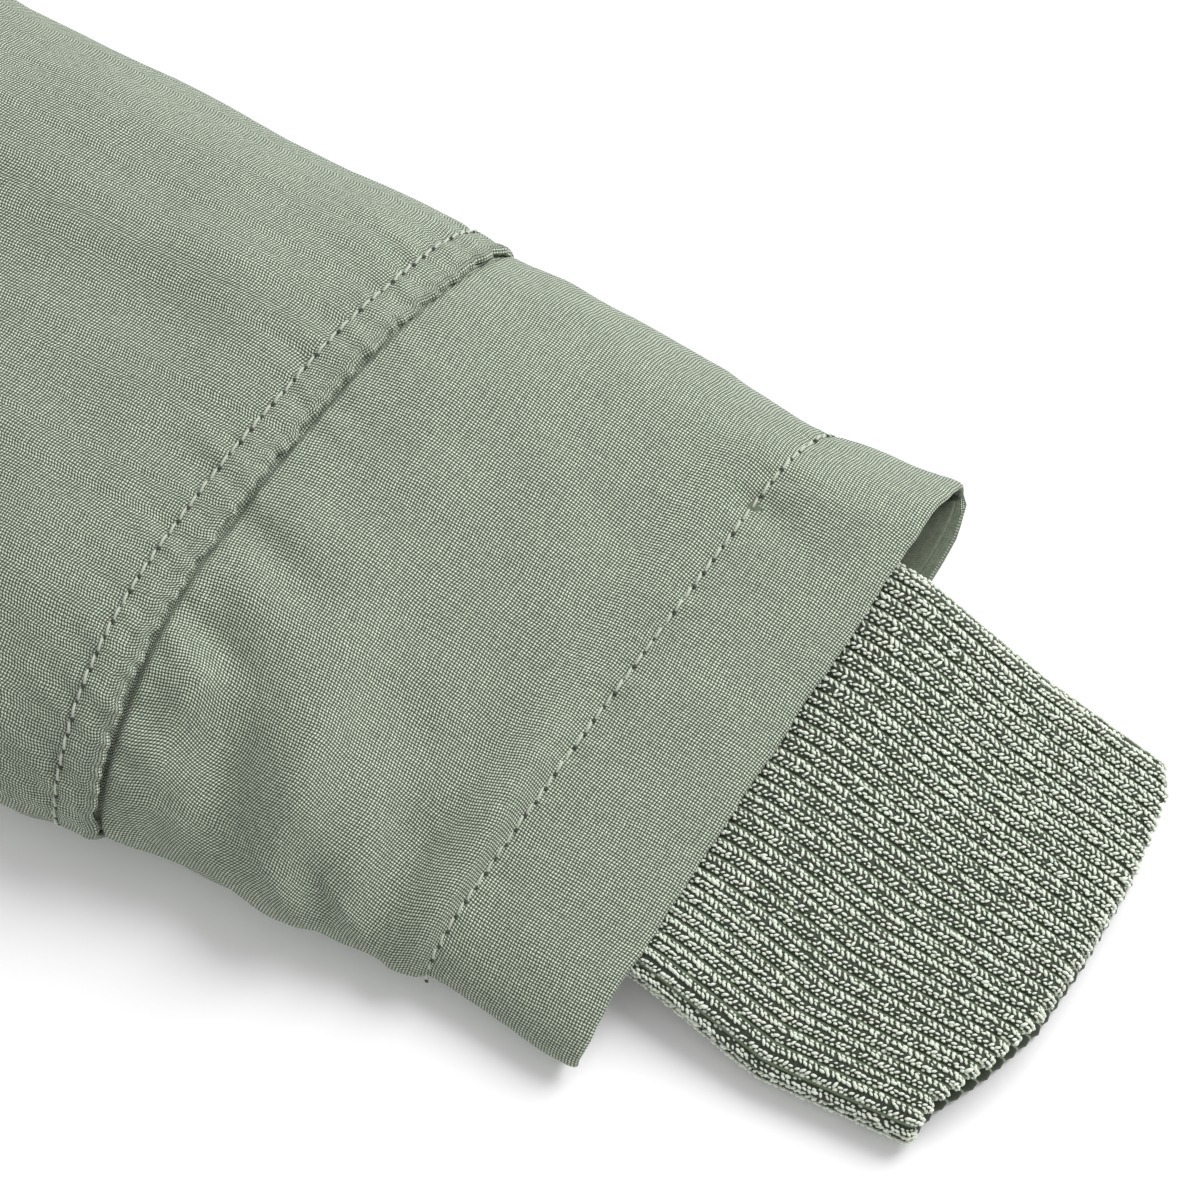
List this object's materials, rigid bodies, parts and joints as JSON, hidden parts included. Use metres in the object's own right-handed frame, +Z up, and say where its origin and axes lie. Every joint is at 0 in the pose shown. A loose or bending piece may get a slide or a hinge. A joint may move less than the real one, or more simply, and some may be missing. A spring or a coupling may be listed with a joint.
{
  "type": "hooded parka",
  "caption": "Hooded parka laid flat face up, with set-in sleeves, panelled forearms, plain hem facings and long inner rib-knit cuffs, closed with a front zip.",
  "frame": {"origin": "on the surface the parka is laid on, under the middle of its bounding box", "axes": "+Z up from the surface, +Y from the body's hem towards the hood's crown, +X towards the wearer's left sleeve"},
  "size_m": [1.4192, 1.1, 0.044],
  "materials": {
    "shell": "matt plain-woven cotton blend, sage green",
    "rib": "rib knit with a soft lustre, sage green",
    "facing": "plain-woven, darker sage green",
    "tape": "woven zip tape, sage green",
    "zip_metal": "satin dark nickel"
  },
  "bodies": {
    "coat": {"back": "shell", "front_left": "shell", "front_right": "shell", "upper_sleeve_left": "shell", "upper_sleeve_right": "shell", "forearm_left": "shell", "forearm_right": "shell", "sleeve_facing_left": "facing", "sleeve_facing_right": "facing", "rib_cuff_left": "rib", "rib_cuff_right": "rib", "hood_side_left": "shell", "hood_side_right": "shell", "hood_strip": "shell", "zip_tape_left": "tape", "zip_tape_right": "tape", "zip_chain": "zip_metal", "zip_box": "zip_metal", "zip_stop_left": "zip_metal", "zip_stop_right": "zip_metal", "zip_slider": "zip_metal"},
    "pull_tab": {"pull_tab": "zip_metal"}
  },
  "joints": [
    {"name": "pull_tab_hinge", "type": "hinge", "parent": "coat", "child": "pull_tab", "pos_m": [0, 0.10002, 0.0337], "axis": [-1, 0, 0], "range_deg": [0, 165]}
  ]
}
